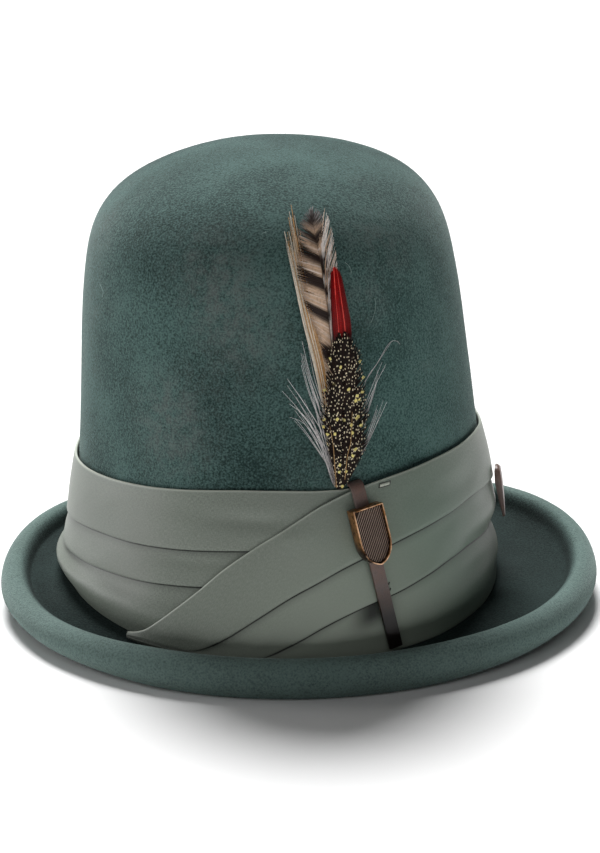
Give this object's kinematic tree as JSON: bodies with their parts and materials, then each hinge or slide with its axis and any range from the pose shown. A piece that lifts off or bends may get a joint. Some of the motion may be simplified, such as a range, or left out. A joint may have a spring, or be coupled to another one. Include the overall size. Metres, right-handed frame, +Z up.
{
  "type": "tall derby hat",
  "caption": "Tall round-crowned felt derby hat with a rolled brim, a pleated satin sash, a leather strap with a shield slide and a feather mount.",
  "frame": {"origin": "under the middle of the brim, on the surface that the hat rests on", "axes": "+Z up, the hat's front faces -Y, +X is the wearer's left"},
  "size_m": [0.2548, 0.2672, 0.1969],
  "materials": {
    "felt": "matt dark green felt with a short brushed nap",
    "satin": "sage green satin with a soft sheen",
    "leather": "worn brown leather",
    "antique_copper": "antiqued copper, dark in its hollows",
    "tan_feather": "dry tan and cream fibres",
    "barred_feather": "cream feather with dark bars",
    "grey_feather": "soft grey wisps",
    "red_feather": "glossy dyed red feather",
    "speckled_feather": "dark brown feather with pale dots"
  },
  "bodies": {
    "root": {"felt_body": "felt", "pleated_sash": "satin", "front_strap": "leather", "shield_frame": "antique_copper", "shield_inlay": "antique_copper", "side_tab": "leather", "tan_plume": "tan_feather", "barred_feather": "barred_feather", "hackle_fan": "grey_feather", "red_feather": "red_feather", "speckled_feather": "speckled_feather"}
  },
  "joints": []
}
